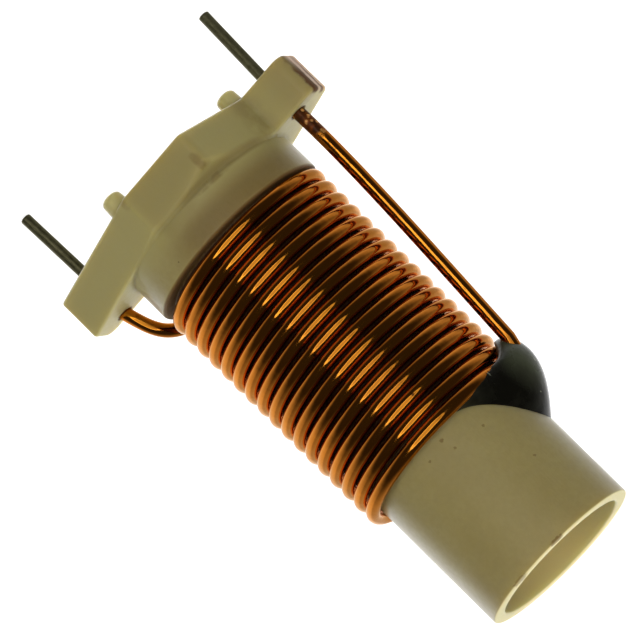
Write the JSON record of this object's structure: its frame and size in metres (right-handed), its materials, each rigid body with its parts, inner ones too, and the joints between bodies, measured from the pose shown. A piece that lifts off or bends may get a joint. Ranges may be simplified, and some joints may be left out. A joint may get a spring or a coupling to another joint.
{
  "type": "fixed inductor",
  "caption": "Air-core inductor: enamelled copper wire wound on a hollow plastic former, its ends brought down through ears as solder leads for a circuit board.",
  "frame": {"origin": "on the tube's axis, in the plane of the standoffs' feet, which is the board's surface, midway between the leads", "axes": "+Z along the tube towards its open end; +X towards the lead that starts the coil; the adhesive and the return run are at -X"},
  "size_m": [0.0236, 0.0154, 0.0444],
  "materials": {
    "former": "natural ivory moulding, slightly translucent, with a satin surface",
    "winding_wire": "copper under glossy amber enamel, with the leads stripped and tinned to a dull grey",
    "adhesive": "black set adhesive with a soft gloss"
  },
  "bodies": {
    "root": {"former": "former", "winding_wire": "winding_wire", "adhesive": "adhesive"}
  },
  "joints": []
}
